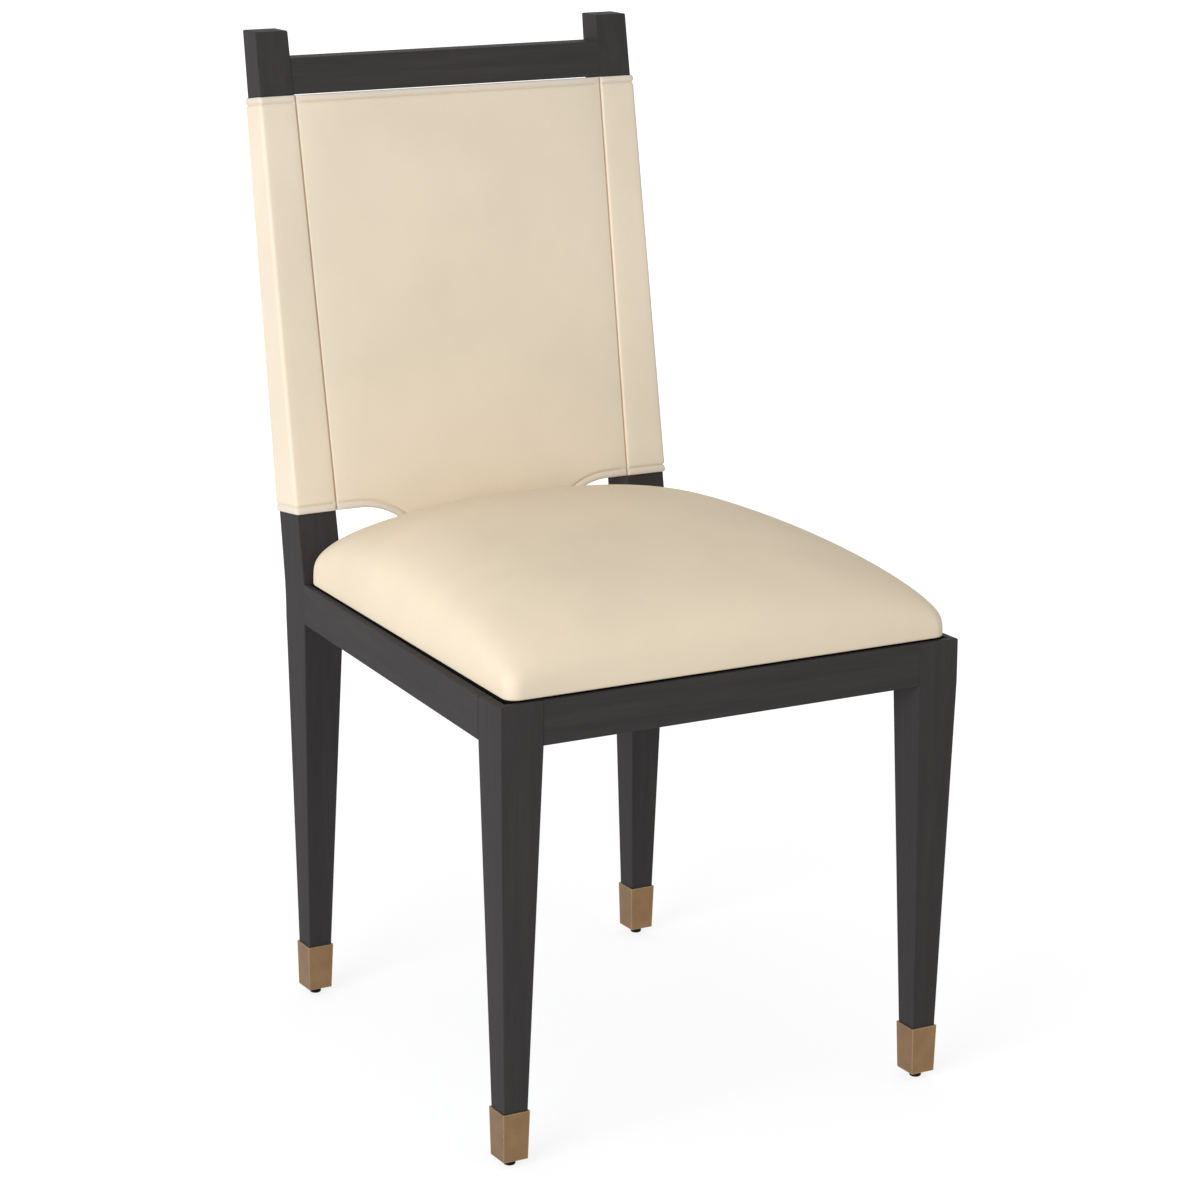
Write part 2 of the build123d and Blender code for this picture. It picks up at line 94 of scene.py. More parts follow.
def new_piece(name, verts, faces, material, other=None, other_faces=()):
    """Mesh from points in millimetres, smooth shaded, riding on the chair.

    The faces with the numbers in other_faces have the other material.
    """
    mesh = bpy.data.meshes.new(name)
    mesh.from_pydata([Vector(v) * MM for v in verts], [], faces)
    for index in other_faces:
        mesh.polygons[index].material_index = 1
    bm = bmesh.new()
    bm.from_mesh(mesh)
    bmesh.ops.remove_doubles(bm, verts=bm.verts, dist=1e-6)
    bmesh.ops.recalc_face_normals(bm, faces=bm.faces)
    bm.to_mesh(mesh)
    bm.free()
    mesh.polygons.foreach_set("use_smooth", [True] * len(mesh.polygons))
    mesh.materials.append(material)
    if other:
        mesh.materials.append(other)
    piece = bpy.data.objects.new(name, mesh)
    bpy.context.scene.collection.objects.link(piece)
    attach(piece, "chair")
    return piece


def grid_faces(rows, columns, start=0, wrap=False):
    """Faces between rows of points. With wrap, the last point of a row joins the first."""
    faces = []
    for j in range(rows - 1):
        for i in range(columns if wrap else columns - 1):
            n = (i + 1) % columns
            a, b = start + j * columns, start + (j + 1) * columns
            faces.append((a + i, a + n, b + n, b + i))
    return faces


# Materials

class Nodes:
    """Short way to write a procedural material."""

    def __init__(self, name):
        self.material = bpy.data.materials.new(name)
        self.material.use_nodes = True
        self.tree = self.material.node_tree
        self.shader = self.tree.nodes["Principled BSDF"]

    def add(self, kind, **settings):
        node = self.tree.nodes.new(kind)
        for key, value in settings.items():
            setattr(node, key, value)
        return node

    def link(self, source, target):
        self.tree.links.new(source, target)

    def set(self, **values):
        for key, value in values.items():
            self.shader.inputs[key.replace("_", " ")].default_value = value

    def place(self, scale):
        """Object coordinates, stretched."""
        coords = self.add("ShaderNodeTexCoord")
        mapping = self.add("ShaderNodeMapping")
        mapping.inputs["Scale"].default_value = scale
        self.link(coords.outputs["Object"], mapping.inputs["Vector"])
        return mapping.outputs["Vector"]

    def noise(self, place, scale, detail=4.0, rough=0.55, distortion=0.0):
        node = self.add("ShaderNodeTexNoise")
        node.inputs["Scale"].default_value = scale
        node.inputs["Detail"].default_value = detail
        node.inputs["Roughness"].default_value = rough
        node.inputs["Distortion"].default_value = distortion
        self.link(place, node.inputs["Vector"])
        return node.outputs["Fac"]

    def ramp(self, factor, stops):
        node = self.add("ShaderNodeValToRGB")
        ramp = node.color_ramp
        while len(ramp.elements) < len(stops):
            ramp.elements.new(0.5)
        for element, (position, colour) in zip(ramp.elements, stops):
            element.position = position
            element.color = (*colour, 1.0)
        self.link(factor, node.inputs["Fac"])
        return node.outputs["Color"]

    def span(self, value, low, high):
        node = self.add("ShaderNodeMapRange")
        node.inputs["To Min"].default_value = low
        node.inputs["To Max"].default_value = high
        self.link(value, node.inputs["Value"])
        return node.outputs["Result"]

    def mix(self, kind, factor, a, b):
        node = self.add("ShaderNodeMix", data_type="RGBA", blend_type=kind)
        if isinstance(factor, float):
            node.inputs[0].default_value = factor
        else:
            self.link(factor, node.inputs[0])
        for socket, value in ((node.inputs[6], a), (node.inputs[7], b)):
            if isinstance(value, tuple):
                socket.default_value = (*value, 1.0)
            else:
                self.link(value, socket)
        return node.outputs[2]

    def bump(self, height, strength, distance, after=None):
        node = self.add("ShaderNodeBump")
        node.inputs["Strength"].default_value = strength
        node.inputs["Distance"].default_value = distance
        self.link(height, node.inputs["Height"])
        if after is not None:
            self.link(after, node.inputs["Normal"])
        return node.outputs["Normal"]

    def edges(self, radius):
        """1 on the edges of a piece and 0 on its flat faces."""
        bevel = self.add("ShaderNodeBevel", samples=6)
        bevel.inputs["Radius"].default_value = radius
        surface = self.add("ShaderNodeNewGeometry")
        turn = self.add("ShaderNodeVectorMath", operation="DOT_PRODUCT")
        self.link(bevel.outputs["Normal"], turn.inputs[0])
        self.link(surface.outputs["Normal"], turn.inputs[1])
        node = self.add("ShaderNodeMapRange")
        node.inputs["From Min"].default_value = 0.98
        node.inputs["From Max"].default_value = 0.84
        self.link(turn.outputs["Value"], node.inputs["Value"])
        return node.outputs["Result"]

    def finish(self, colour=None, roughness=None, normal=None):
        for value, socket in ((colour, "Base Color"), (roughness, "Roughness"), (normal, "Normal")):
            if value is not None:
                self.link(value, self.shader.inputs[socket])
        return self.material


GRAIN_STRETCH = 0.045
PORE_SHADE = [(0.30, (0.55, 0.52, 0.50)), (0.62, (1.0, 1.0, 1.0))]


def wood(name, axis, stops, roughness, specular):
    """Wood with its grain along one axis, and pores along it."""
    m = Nodes(name)
    long_way = [1.0, 1.0, 1.0]
    long_way["xyz".index(axis)] = GRAIN_STRETCH
    place = m.place(long_way)
    figure = m.noise(place, 95.0, 5.0, 0.6, 0.4)
    pores = m.noise(place, 620.0, 3.0, 0.7)
    colour = m.ramp(figure, stops)
    colour = m.mix("MULTIPLY", 0.28, colour, m.ramp(pores, PORE_SHADE))
    m.set(Specular_IOR_Level=specular)
    normal = m.bump(pores, 0.12, 0.0004)
    return m.finish(colour, m.span(figure, roughness - 0.05, roughness + 0.06), normal)


STAIN = [
    (0.30, (0.0343, 0.0300, 0.0292)),
    (0.52, (0.0396, 0.0350, 0.0343)),
    (0.72, (0.0460, 0.0400, 0.0384)),
]
PALE_WOOD = [(0.3, (0.42, 0.29, 0.17)), (0.7, (0.55, 0.40, 0.25))]
PLYWOOD = [(0.3, (0.50, 0.37, 0.23)), (0.7, (0.64, 0.50, 0.33))]
stained = {axis: wood("stained_wood_" + axis, axis, STAIN, 0.70, 0.16) for axis in "xyz"}
plain_wood = wood("plain_hidden_wood", "x", PALE_WOOD, 0.6, 0.3)
plywood = wood("seat_plywood", "y", PLYWOOD, 0.65, 0.3)


GRAIN_SHADE = [(0.1, (1.0, 1.0, 1.0)), (0.8, (0.80, 0.77, 0.72))]


def leather(name, tone):
    """Smooth finished leather: a soft cloud of tone, fine pebbled grain and pores."""
    m = Nodes(name)
    place = m.place((1.0, 1.0, 1.0))
    cloud = m.noise(place, 9.0, 3.0, 0.5)
    low = tuple(c * 0.965 for c in tone)
    high = tuple(min(1.0, c * 1.03) for c in tone)
    colour = m.ramp(cloud, [(0.32, low), (0.68, high)])
    cells = m.add("ShaderNodeTexVoronoi")
    cells.inputs["Scale"].default_value = 780.0
    m.link(place, cells.inputs["Vector"])
    grain = cells.outputs["Distance"]
    creases = m.noise(place, 260.0, 5.0, 0.6)
    colour = m.mix("MULTIPLY", 0.10, colour, m.ramp(grain, GRAIN_SHADE))
    m.set(Specular_IOR_Level=0.30)
    normal = m.bump(grain, 0.10, 0.0003)
    normal = m.bump(creases, 0.06, 0.0005, normal)
    return m.finish(colour, m.span(creases, 0.60, 0.74), normal)


seat_leather = leather("cream_seat_leather", (0.793, 0.668, 0.494))
sling_leather = leather("cream_sling_leather", (0.798, 0.685, 0.522))
# Second tone of the same leather on the hems, less saturated than the panel's: painted sheen on the rolled
# hem.
painted_sheen_hem_leather = leather("cream_hem_leather_painted_sheen", (0.745, 0.658, 0.532))


def brass():
    """Antique brass with a fine brushed finish, lighter along its edges: partly rubbed wear, partly a
    painted highlight where the rounded edges catch the light.
    """
    m = Nodes("antique_brass")
    place = m.place((1.0, 1.0, 0.03))
    brushed = m.noise(place, 2600.0, 3.0, 0.6)
    patches = m.noise(m.place((1.0, 1.0, 1.0)), 60.0, 3.0, 0.5)
    colour = m.ramp(patches, [(0.35, (0.242, 0.148, 0.076)), (0.65, (0.272, 0.170, 0.088))])
    # Lighter colour on the edges: partly rubbed wear, partly painted highlight.
    colour = m.mix("MIX", m.edges(0.0014), colour, (0.66, 0.50, 0.34))
    m.set(Metallic=1.0)
    return m.finish(colour, m.span(brushed, 0.34, 0.50), m.bump(brushed, 0.08, 0.0002))


def plain(name, dark, light, scale, roughness, metallic=0.0, specular=0.4, grain=0.1):
    """Even material with a fine speckle and a slightly uneven surface."""
    m = Nodes(name)
    speckle = m.noise(m.place((1.0, 1.0, 1.0)), scale, 4.0, 0.6)
    m.set(Metallic=metallic, Specular_IOR_Level=specular)
    colour = m.ramp(speckle, [(0.35, dark), (0.65, light)])
    rough = m.span(speckle, roughness - 0.06, roughness + 0.06)
    return m.finish(colour, rough, m.bump(speckle, grain, 0.0002))


ferrule_brass = brass()
glide_plastic = plain("black_glide_plastic", (0.004, 0.004, 0.003), (0.008, 0.008, 0.006), 900.0, 0.6,
                      specular=0.1)
screw_steel = plain("plated_steel", (0.36, 0.35, 0.33), (0.46, 0.45, 0.42), 700.0, 0.38, metallic=1.0)
dust_cloth = plain("black_dust_cloth", (0.014, 0.014, 0.015), (0.034, 0.034, 0.035), 1500.0, 0.9,
                   specular=0.15, grain=0.4)
# Near-black lining under the cushion's edge: painted shade for the gap between the cushion and the rails.
painted_shade_lining = plain("black_painted_shade_lining", (0.004, 0.004, 0.004), (0.010, 0.009, 0.009), 1500.0, 0.9,
                    specular=0.05, grain=0.4)
thread = plain("sewing_thread", (0.58, 0.47, 0.34), (0.68, 0.56, 0.42), 1600.0, 0.7,
               specular=0.2, grain=0.3)


def cad_material(node):
    """Material of a CAD node that stays in sight."""
    if node.startswith(("rear_post", "front_leg")):
        return stained["z"]
    if node.startswith("side_seat_rail"):
        return stained["y"]
    if node in ("front_seat_rail", "rear_seat_rail", "top_rail"):
        return stained["x"]
    if node.startswith("ferrule"):
        return ferrule_brass
    if node == "glide_inserts" or node.endswith("screws"):
        return screw_steel
    if node.startswith("glide"):
        return glide_plastic
    if node == "seat_board":
        return plywood
    return plain_wood


for node, piece in frame["nodes"].items():
    piece.data.materials.clear()
    piece.data.materials.append(cad_material(node))


# Seat cushion: leather drawn tight over its foam, in millimetres

SEAT_FRONT, SEAT_REAR = -289.3, 166.9
SEAT_HALF_FRONT, SEAT_HALF_REAR = 228.5, 200.3
SEAT_BASE, SEAT_RISE = 431.6, 89.8
ACROSS_POWER, ACROSS_ROOT = 2.04, 0.227
ALONG_POWER, ALONG_ROOT = 2.16, 0.274
CROWN_SET_BACK = 0.13
SEAT_CORNER = 14.0
SEAT_STEPS = 44
FINE_STEPS, FINE_CROWDING = 400, 4
SWELL_FRAMES, SWELL_PRESSURE, SWELL_QUALITY = 20, 4.0, 6
SWELL_CAP, SWELL_EVENING = 4.0, 30
# The leather's rolled edge, and the black lining from there round the board, which is nearer at the sides;
# the lining's black is painted shade for the gap under the cushion's edge.
# Way in from the cushion's widest line at the sides, the same at the front and rear, and height
SEAT_EDGE = [(0.1, 0.2, 430.9), (0.4, 0.7, 430.4), (0.9, 1.5, 430.1)]
SEAT_SHADE_LINING = [
    (1.2, 2.4, 430.0), (1.5, 5.6, 430.0), (1.7, 6.3, 429.6), (1.8, 6.5, 428.6), (1.8, 6.5, 415.4),
    (2.4, 7.1, 414.4), (4.2, 8.9, 414.2), (25.3, 30.0, 414.2), (25.9, 30.6, 414.9),
]


def seat_half_width(y):
    """Half the width of the seat, which narrows to the rear."""
    return between(SEAT_HALF_FRONT, SEAT_HALF_REAR, (y - SEAT_FRONT) / (SEAT_REAR - SEAT_FRONT))


def seat_corner(x, y):
    """Round off the corners of the seat's plan."""
    side = 1 if x > 0 else -1
    across = seat_half_width(y) - abs(x)
    along = min(y - SEAT_FRONT, SEAT_REAR - y)
    if across >= SEAT_CORNER or along >= SEAT_CORNER:
        return x, y
    a = 1 - across / SEAT_CORNER
    b = 1 - along / SEAT_CORNER
    out_x = SEAT_CORNER * a * sqrt(1 - b * b / 2)
    out_y = SEAT_CORNER * b * sqrt(1 - a * a / 2)
    x = side * (seat_half_width(y) - SEAT_CORNER + out_x)
    if y < (SEAT_FRONT + SEAT_REAR) / 2:
        return x, SEAT_FRONT + SEAT_CORNER - out_y
    return x, SEAT_REAR - SEAT_CORNER + out_y


def seat_rise(u, v):
    """Share of the full height, with the crown a little behind the middle."""
    v -= CROWN_SET_BACK * (1 - v * v)
    return (1 - abs(u) ** ACROSS_POWER) ** ACROSS_ROOT * (1 - abs(v) ** ALONG_POWER) ** ALONG_ROOT


def seat_point(u, v):
    """Point of the dome. u and v run from -1 to 1 across and along the seat."""
    y = between(SEAT_FRONT, SEAT_REAR, (v + 1) / 2)
    x, y = seat_corner(u * seat_half_width(y), y)
    return x, y, SEAT_BASE + SEAT_RISE * seat_rise(u, v)


def even_steps(half, rise):
    """Places from one edge of the dome to the other, evenly spaced along its curve."""
    fine = [1 - (1 - k / FINE_STEPS) ** FINE_CROWDING for k in range(FINE_STEPS + 1)]
    ways = [0.0]
    for a, b in zip(fine, fine[1:]):
        ways.append(ways[-1] + sqrt(((b - a) * half) ** 2 + (SEAT_RISE * (rise(b) - rise(a))) ** 2))
    steps = []
    for n in range(SEAT_STEPS + 1):
        way = ways[-1] * n / SEAT_STEPS
        k = min(sum(1 for w in ways if w <= way), FINE_STEPS)
        share = (way - ways[k - 1]) / (ways[k] - ways[k - 1])
        steps.append(min(1.0, between(fine[k - 1], fine[k], share)))
    return [-s for s in reversed(steps[1:])] + steps


def swell(verts, faces, held):
    """Blow the leather up by a short cloth simulation.

    The foam keeps it from moving in, and a soft cap from moving far out.
    """
    mesh = bpy.data.meshes.new("swelling")
    mesh.from_pydata([Vector(v) * MM for v in verts], [], faces)
    piece = bpy.data.objects.new("swelling", mesh)
    scene = bpy.context.scene
    scene.collection.objects.link(piece)
    piece.vertex_groups.new(name="held").add(held, 1.0, "REPLACE")
    cloth = piece.modifiers.new("swelling", "CLOTH")
    cloth.point_cache.frame_start, cloth.point_cache.frame_end = 1, SWELL_FRAMES
    settings = cloth.settings
    settings.quality = SWELL_QUALITY
    settings.vertex_group_mass = "held"
    settings.effector_weights.gravity = 0.0
    settings.use_pressure = True
    settings.uniform_pressure_force = SWELL_PRESSURE
    for step in range(1, SWELL_FRAMES + 1):
        scene.frame_set(step)
    swollen = piece.evaluated_get(bpy.context.evaluated_depsgraph_get()).to_mesh()
    moves = [(a.co - b.co).dot(b.normal) / MM for a, b in zip(swollen.vertices, mesh.vertices)]
    moves = [SWELL_CAP * (1 - exp(-max(0.0, move) / SWELL_CAP)) for move in moves]
    for _ in range(SWELL_EVENING):
        totals = [[move, 1] for move in moves]
        for edge in mesh.edges:
            a, b = edge.vertices
            totals[a] = [totals[a][0] + moves[b], totals[a][1] + 1]
            totals[b] = [totals[b][0] + moves[a], totals[b][1] + 1]
        moves = [total / share for total, share in totals]
    result = [vertex.co / MM + vertex.normal * move for vertex, move in zip(mesh.vertices, moves)]
    for index in held:
        result[index] = Vector(verts[index])
    scene.frame_set(1)
    bpy.data.objects.remove(piece)
    bpy.data.meshes.remove(mesh)
    return result


def seat_cushion():
    """Dome of leather on an even grid, with its rolled edge and below it the black lining, which is painted
    shade under the cushion's edge.
    """
    across = even_steps(SEAT_HALF_FRONT, lambda u: seat_rise(u, 0.0))
    along = even_steps((SEAT_REAR - SEAT_FRONT) / 2, lambda v: seat_rise(0.0, v))
    count = len(across)
    verts = [seat_point(u, v) for v in along for u in across]
    faces = grid_faces(count, count)
    rim = list(range(count))
    rim += [row * count + count - 1 for row in range(1, count)]
    rim += [(count - 1) * count + i for i in range(count - 2, -1, -1)]
    rim += [row * count for row in range(count - 2, 0, -1)]
    verts = swell(verts, faces, rim)
    outline = [Vector(verts[i][:2]) for i in rim]
    shade_lining_start = len(faces) + len(rim) * len(SEAT_EDGE)
    last = rim
    for side_inset, end_inset, z in SEAT_EDGE + SEAT_SHADE_LINING:
        ring = []
        for k, point in enumerate(outline):
            tangent = (outline[(k + 1) % len(rim)] - outline[k - 1]).normalized()
            inward = Vector((-tangent.y, tangent.x))
            spot = point + inward * between(end_inset, side_inset, inward.x ** 2)
            ring.append(len(verts))
            verts.append((spot.x, spot.y, z))
        for k in range(len(rim)):
            n = (k + 1) % len(rim)
            faces.append((last[k], ring[k], ring[n], last[n]))
        last = ring
    middle = len(verts)
    verts.append((0.0, (SEAT_FRONT + SEAT_REAR) / 2, SEAT_SHADE_LINING[-1][2]))
    faces += [(last[k], middle, last[(k + 1) % len(rim)]) for k in range(len(rim))]
    piece = new_piece("seat_cushion", verts, faces, seat_leather,
                      other=painted_shade_lining, other_faces=range(shade_lining_start, len(faces)))
    smooth = piece.modifiers.new("smooth", "SUBSURF")
    smooth.levels = smooth.render_levels = 1
    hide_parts("seat_cover", "seat_foam")


seat_cushion()


# Dust cloth under the seat, stretched across the board and sagging a little

DUST_HEIGHT = LEDGE_HEIGHT + 1.0
DUST_STEPS = 20
DUST_SAG, DUST_THICKNESS = 1.6, 0.4
RIPPLE, RIPPLE_SCALE, RIPPLE_SLICE = 0.25, 0.03, 3.0
# Shares of the length that mark the front and rear ends of the CAD cover
FRONT_END, REAR_END = 0.1, 0.97


def dust_cover():
    """Two layers of points, which meet along the edges."""
    low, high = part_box("seat_dust_cover")
    front, rear = low.y / MM, high.y / MM
    node = frame["nodes"]["seat_dust_cover"]
    front_end, rear_end = between(low.y, high.y, FRONT_END), between(low.y, high.y, REAR_END)
    front_half = max(abs(v.co.x) for v in node.data.vertices if v.co.y < front_end) / MM
    rear_half = max(abs(v.co.x) for v in node.data.vertices if v.co.y > rear_end) / MM
    steps = DUST_STEPS
    verts, faces = [], []
    for top in (False, True):
        faces += grid_faces(steps + 1, steps + 1, len(verts))
        for j in range(steps + 1):
            for i in range(steps + 1):
                u, v = 2 * i / steps - 1, 2 * j / steps - 1
                y = between(front, rear, j / steps)
                x = u * between(front_half, rear_half, j / steps)
                ripple = RIPPLE * noise.noise(Vector((x, y, RIPPLE_SLICE)) * RIPPLE_SCALE)
                sag = DUST_SAG * (1 - u * u) * (1 - v * v) + ripple
                inside = i not in (0, steps) and j not in (0, steps)
                lift = DUST_THICKNESS if top and inside else 0.0
                verts.append((x, y, DUST_HEIGHT - max(0.0, sag) + lift))
    piece = new_piece("seat_dust_cloth", verts, faces, dust_cloth)
    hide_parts("seat_dust_cover")


dust_cover()


# Leather sling: a panel between the posts and a sewn sleeve round each post

# Ways in from an upper or lower edge, and from a seam, at which the leather has points
EDGE_STEPS = [
    0.0, 0.12, 0.45, 1.0, 1.8, 2.6, 3.6, 4.6, 5.5, 6.2, 6.7, HEM,
    7.3, 7.8, 8.5, 9.6, 11.5, 14.5, 19.0, 26.0,
]
SEAM_STEPS = [0.0, 0.6, 1.15, 1.25, 1.4, 1.6, 1.85, 2.1, 2.4, 3.0, 4.4, 6.2, 8.6, 12.0, 16.5, 23.0]
EDGE_ROUND = 1.8
# Height, place and width of the ridges of a hem
HEM_ROLL, HEM_FURROW, HEM_SHOULDER = (0.40, 3.3, 1.9), (1.5, HEM, 1.2), (0.15, 10.5, 2.6)
# Thickness of leather from which a hem's furrow has its full depth
FULL_FURROW = 1.7
SEAM_GAP, SEAM_DEPTH, SEAM_ROLL = 1.2, -1.2, 1.2
PANEL_STEPS, SLEEVE_STEPS = 26, 14
PANEL_SEAM_FIT, PANEL_MIDDLE = 0.15, 0.45
# Thickness of the panel's front at the seam, its growth and the way that takes
PANEL_FULL = (0.3, 2.5, 16.0)
BACK_EDGE, BACK_FULL, BACK_HEM = 0.25, 1.5, 0.6
SLACK, SLACK_SCALE, SLACK_SLICE = 0.5, 0.012, 7.0
SLACK_FROM_SEAM, SLACK_FROM_EDGE = 25.0, 30.0


def rounded(distance, radius):
    """0 at an edge, rising round it to 1."""
    share = min(distance / radius, 1.0)
    return sqrt(1 - (1 - share) ** 2)


def grown(way, start, growth, run):
    """Thickness that grows with the way from a seam, quickly at first."""
    return start + growth * (1 - exp(-way / run))


def ridge(distance, height, place, width):
    """Soft ridge along an edge."""
    return height * exp(-((distance - place) / width) ** 2)


def hem(distance):
    """Rolled hem: a fuller edge, and a furrow where it is stitched down."""
    rise = ridge(distance, *HEM_ROLL) - ridge(distance, *HEM_FURROW) + ridge(distance, *HEM_SHOULDER)
    return rise * rounded(distance, EDGE_ROUND)


def scallop(x):
    """Lower edge of the panel: straight beside the posts, then a drop in two arcs to the middle."""
    run = post_inner(SLING_BOTTOM) - SCALLOP_START - abs(x)
    reach = SCALLOP_RADIUS * sin(pi / 4)
    fall = SCALLOP_RADIUS * (1 - cos(pi / 4))
    if run <= 0:
        return SLING_BOTTOM
    if run < reach:
        return SLING_BOTTOM - SCALLOP_RADIUS + sqrt(SCALLOP_RADIUS ** 2 - run ** 2)
    if run < 2 * reach:
        return SLING_BOTTOM - 2 * fall + SCALLOP_RADIUS - sqrt(SCALLOP_RADIUS ** 2 - (2 * reach - run) ** 2)
    return SLING_BOTTOM - 2 * fall


def hem_stretch(x):
    """How much longer the way up from the lower edge is where the edge slopes."""
    slope = scallop(x + 0.5) - scallop(x - 0.5)
    return sqrt(1 + slope * slope)


def panel_point(u, rise, fall, back=False):
    """Point of the panel. u runs from -1 to 1, from seam to seam.

    Near an edge, rise or fall is the way from the lower or upper edge, and the other is None.
    Between the edges, both are shares of the height there.
    """
    x_low = u * post_inner(SLING_BOTTOM)
    if fall is None:
        z = scallop(x_low) + rise * hem_stretch(x_low)
        edge = rise
    elif rise is None:
        z = SLING_TOP - fall
        edge = fall
    else:
        low = scallop(x_low) + EDGE_STEPS[-1] * hem_stretch(x_low)
        z = between(low, SLING_TOP - EDGE_STEPS[-1], rise)
        edge = EDGE_STEPS[-1]
    half = post_inner(z) - PANEL_SEAM_FIT
    x = u * half
    seam = half - abs(x)
    lip = rounded(max(0.0, seam - SEAM_GAP), SEAM_ROLL)
    middle = between(SEAM_DEPTH, PANEL_MIDDLE, lip)
    if back:
        full = BACK_EDGE * min(1.0, seam / SEAM_GAP) + BACK_FULL * lip
        depth = middle - full * rounded(edge, EDGE_ROUND) - BACK_HEM * hem(edge) * lip
    else:
        full = grown(seam, *PANEL_FULL)
        slack = SLACK * noise.noise(Vector((x, z, SLACK_SLICE)) * SLACK_SCALE)
        slack *= grown(seam, 0.0, 1.0, SLACK_FROM_SEAM) * rounded(edge, SLACK_FROM_EDGE)
        sewn = hem(edge) * min(1.0, full / FULL_FURROW)
        depth = middle + lip * full * rounded(edge, EDGE_ROUND) + lip * sewn + slack
    return x, post_front(z) - depth, z


def panel_columns():
    """Places from seam to seam, close together near the seams."""
    half = post_inner(SLING_BOTTOM)
    outer = [1 - d / half for d in SEAM_STEPS]
    inner = [outer[-1] * k / PANEL_STEPS for k in range(PANEL_STEPS)]
    right = sorted(set(inner + outer))
    return [-u for u in reversed(right) if u > 0] + right


def panel_rows():
    """Rise and fall of each row of points, from the lower edge to the upper one."""
    rows = [(e, None) for e in EDGE_STEPS]
    rows += [(k / PANEL_STEPS, 1 - k / PANEL_STEPS) for k in range(1, PANEL_STEPS)]
    rows += [(None, e) for e in reversed(EDGE_STEPS)]
    return rows


def hem_faces(strips, count):
    """Numbers of the faces in the hems at both ends of a grid, on its front and its back."""
    hem_strips = EDGE_STEPS.index(HEM)
    numbers = []
    for start in (0, strips * count):
        numbers += range(start, start + hem_strips * count)
        numbers += range(start + (strips - hem_strips) * count, start + strips * count)
    return numbers


def sling_panel():
    """Front and back of the panel, which meet along the edges and the seams."""
    columns, rows = panel_columns(), panel_rows()
    verts, faces = [], []
    for back in (False, True):
        faces += grid_faces(len(rows), len(columns), len(verts))
        verts += [panel_point(u, rise, fall, back) for rise, fall in rows for u in columns]
    piece = new_piece("sling_panel_leather", verts, faces, sling_leather,
                      other=painted_sheen_hem_leather, other_faces=hem_faces(len(rows) - 1, len(columns) - 1))
    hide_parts("sling_panel", "sling_lining")
    return piece


SLEEVE_EASE, SLEEVE_ROUND = 1.2, 1.6
CORNER_TURNS, SIDE_STEPS = 6, 8
FAR_FROM_SEAM = 99.0
# Thickness at the seam, its growth and the way that takes, on the inner side and elsewhere
SLEEVE_INNER_FULL, SLEEVE_FULL = (0.35, 2.15, 12.0), (0.5, 0.8, 5.0)
SLEEVE_ROLL, SLEEVE_HEM_START = 1.2, 4.0
# Share of the thickness at which the outside and the inside meet
SLEEVE_MEETING = 0.5
# Ways from the seam of the points on the post's front, and back to the seam on its inner side
SLEEVE_FRONT_STEPS = [0.0, 0.3, 0.7, 1.1, 1.6, 2.2, 3.0, 4.4, 6.2, 8.6, 12.0, 16.5, 22.0, 27.0, 31.0]
SLEEVE_INNER_STEPS = [31.0, 24.0, 18.0, 13.0, 9.0, 6.2, 4.4, 3.0, 1.9, 1.1, 0.5]
FRONTWARD, OUTWARD, BACKWARD, INWARD = (0.0, -1.0), (-1.0, 0.0), (0.0, 1.0), (1.0, 0.0)


def sleeve_corner(x, y, start, end):
    """Places round a corner of the sleeve, from facing one way to facing another."""
    places = []
    for k in range(CORNER_TURNS + 1):
        angle = pi / 2 * k / CORNER_TURNS
        out = tuple(a * cos(angle) + b * sin(angle) for a, b in zip(start, end))
        places.append((x, y, out, SLEEVE_EASE, FAR_FROM_SEAM))
    return places


def sleeve_loop(z):
    """Places round the left post at a height, from the seam and back to it.

    Each is x, y, the direction out, the reach to the post's face and the way from the seam.
    """
    front, back = post_front(z), post_back(z)
    inner, outer = -post_inner(z), -REAR_WIDTH / 2
    near_front, near_back = front + SLEEVE_EASE, back - SLEEVE_EASE
    near_inner, near_outer = inner - SLEEVE_EASE, outer + SLEEVE_EASE
    ways = [d for d in SLEEVE_FRONT_STEPS if d < near_inner - near_outer]
    shares = [k / SIDE_STEPS for k in range(1, SIDE_STEPS)]
    outer_ys = [between(near_front, near_back, share) for share in shares]
    back_xs = [between(near_outer, near_inner, share) for share in shares]
    loop = [(inner - d, front, FRONTWARD, 0.0, d) for d in ways]
    loop += sleeve_corner(near_outer, near_front, FRONTWARD, OUTWARD)
    loop += [(near_outer, y, OUTWARD, SLEEVE_EASE, FAR_FROM_SEAM) for y in outer_ys]
    loop += sleeve_corner(near_outer, near_back, OUTWARD, BACKWARD)
    loop += [(x, back, BACKWARD, 0.0, FAR_FROM_SEAM) for x in back_xs]
    loop += sleeve_corner(near_inner, near_back, BACKWARD, INWARD)
    loop += [(inner, min(front + d, near_back), INWARD, 0.0, d) for d in SLEEVE_INNER_STEPS]
    return loop


